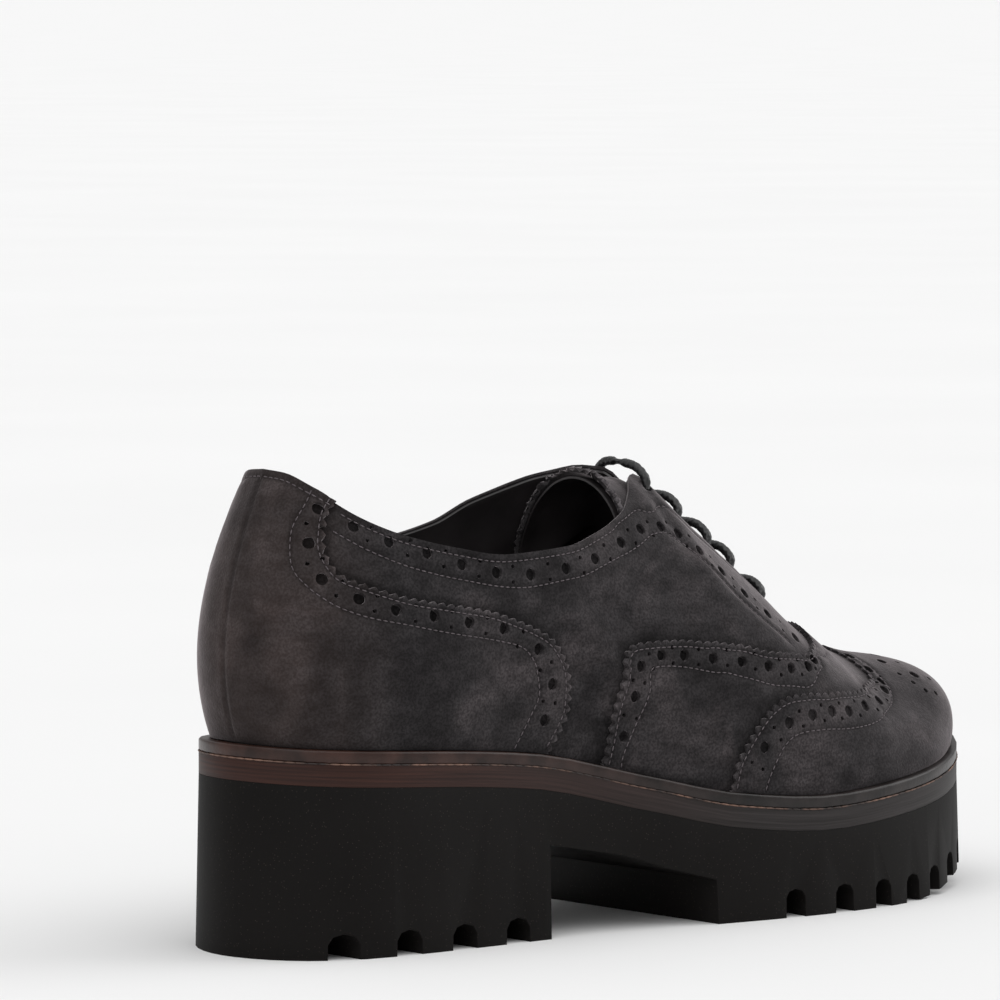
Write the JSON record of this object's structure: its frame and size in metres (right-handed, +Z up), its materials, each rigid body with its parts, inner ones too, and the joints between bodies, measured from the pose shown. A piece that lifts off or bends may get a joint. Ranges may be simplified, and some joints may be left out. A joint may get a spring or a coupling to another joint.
{
  "type": "brogue shoe",
  "caption": "Right lace-up brogue in suede with a winged toe cap, heel counter, welt, platform sole with tread slots and block heel.",
  "frame": {"origin": "middle of the shoe's bounding box, on the floor that the heel and forefoot stand on", "axes": "+X from heel to toe, +Y towards the inner side of the foot, +Z up"},
  "size_m": [0.2727, 0.094, 0.1304],
  "materials": {
    "suede": "matt napped suede",
    "lining_leather": "smooth satin",
    "welt_leather": "waxed edge",
    "midsole_leather": "waxed edge",
    "rubber": "matt",
    "lace_cotton": "waxed round cord"
  },
  "bodies": {
    "root": {"outsole": "rubber", "midsole": "midsole_leather", "welt": "welt_leather", "insole": "lining_leather", "upper": "suede", "heel_counter": "suede", "vamp": "suede", "toe_cap": "suede", "tongue": "lining_leather", "lace_bar_1": "lace_cotton", "lace_bar_2": "lace_cotton", "lace_bar_3": "lace_cotton", "lace_bar_4": "lace_cotton", "lace_bar_5": "lace_cotton"}
  },
  "joints": []
}
